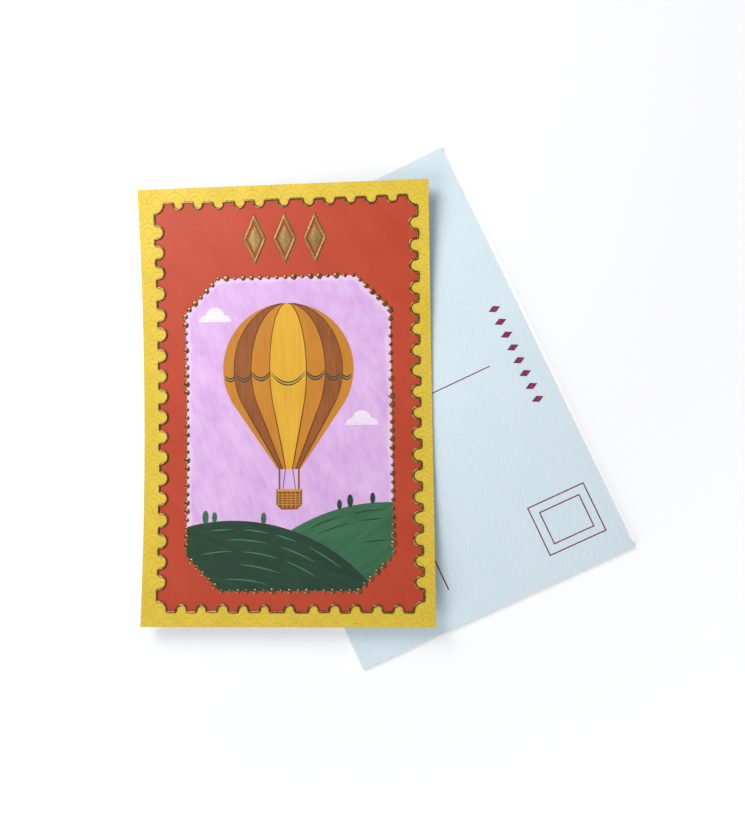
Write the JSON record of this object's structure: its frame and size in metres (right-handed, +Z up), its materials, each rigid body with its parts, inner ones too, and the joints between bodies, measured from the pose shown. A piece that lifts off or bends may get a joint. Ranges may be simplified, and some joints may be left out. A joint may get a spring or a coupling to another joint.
{
  "type": "postcard pair",
  "caption": "Face-up postcard with a foil-edged stamp border and a balloon picture, gently bowed, lying across a flat face-down card with a pale blue address side.",
  "frame": {"origin": "middle of the box around the two cards, on the surface that they lie on", "axes": "+X across the upper card to its right, +Y up the upper card's face, +Z up, out of its face"},
  "size_m": [0.169, 0.1806, 0.0065],
  "materials": {
    "blue_paper": "matte",
    "white_board": "matte",
    "yellow_paper": "matte",
    "red_ink": "matte",
    "lilac_ink": "matte",
    "gold_foil": "satin",
    "dark_green_ink": "matte",
    "green_ink": "matte",
    "ochre_ink": "matte",
    "gold_yellow_ink": "matte",
    "brown_ink": "matte",
    "pale_ink": "matte",
    "wine_ink": "matte"
  },
  "bodies": {
    "lower_card": {"lower_back_ply": "blue_paper", "lower_core_board": "white_board", "lower_face_ply": "yellow_paper", "lower_panel_ink": "red_ink", "lower_window_ink": "lilac_ink", "lower_stamp_edge_foil": "gold_foil", "lower_bead_foil": "gold_foil", "lower_title_foil": "gold_foil", "lower_far_hill_ink": "green_ink", "lower_near_hill_ink": "dark_green_ink", "lower_balloon_ink": "ochre_ink", "lower_light_gore_ink": "gold_yellow_ink", "lower_dark_gore_ink": "brown_ink", "lower_basket_ink": "brown_ink", "lower_cloud_ink": "pale_ink", "lower_heading_ink": "wine_ink", "lower_divider_ink": "wine_ink", "lower_address_rule_ink": "wine_ink", "lower_stamp_box_ink": "wine_ink"},
    "upper_card": {"upper_back_ply": "blue_paper", "upper_core_board": "white_board", "upper_face_ply": "yellow_paper", "upper_panel_ink": "red_ink", "upper_window_ink": "lilac_ink", "upper_stamp_edge_foil": "gold_foil", "upper_bead_foil": "gold_foil", "upper_title_foil": "gold_foil", "upper_far_hill_ink": "green_ink", "upper_near_hill_ink": "dark_green_ink", "upper_balloon_ink": "ochre_ink", "upper_light_gore_ink": "gold_yellow_ink", "upper_dark_gore_ink": "brown_ink", "upper_basket_ink": "brown_ink", "upper_cloud_ink": "pale_ink", "upper_heading_ink": "wine_ink", "upper_divider_ink": "wine_ink", "upper_address_rule_ink": "wine_ink", "upper_stamp_box_ink": "wine_ink"}
  },
  "joints": [
    {"name": "upper_card_lift", "type": "slide", "parent": "lower_card", "child": "upper_card", "axis": [0, 0, 1], "range_m": [0, 0.06]}
  ]
}
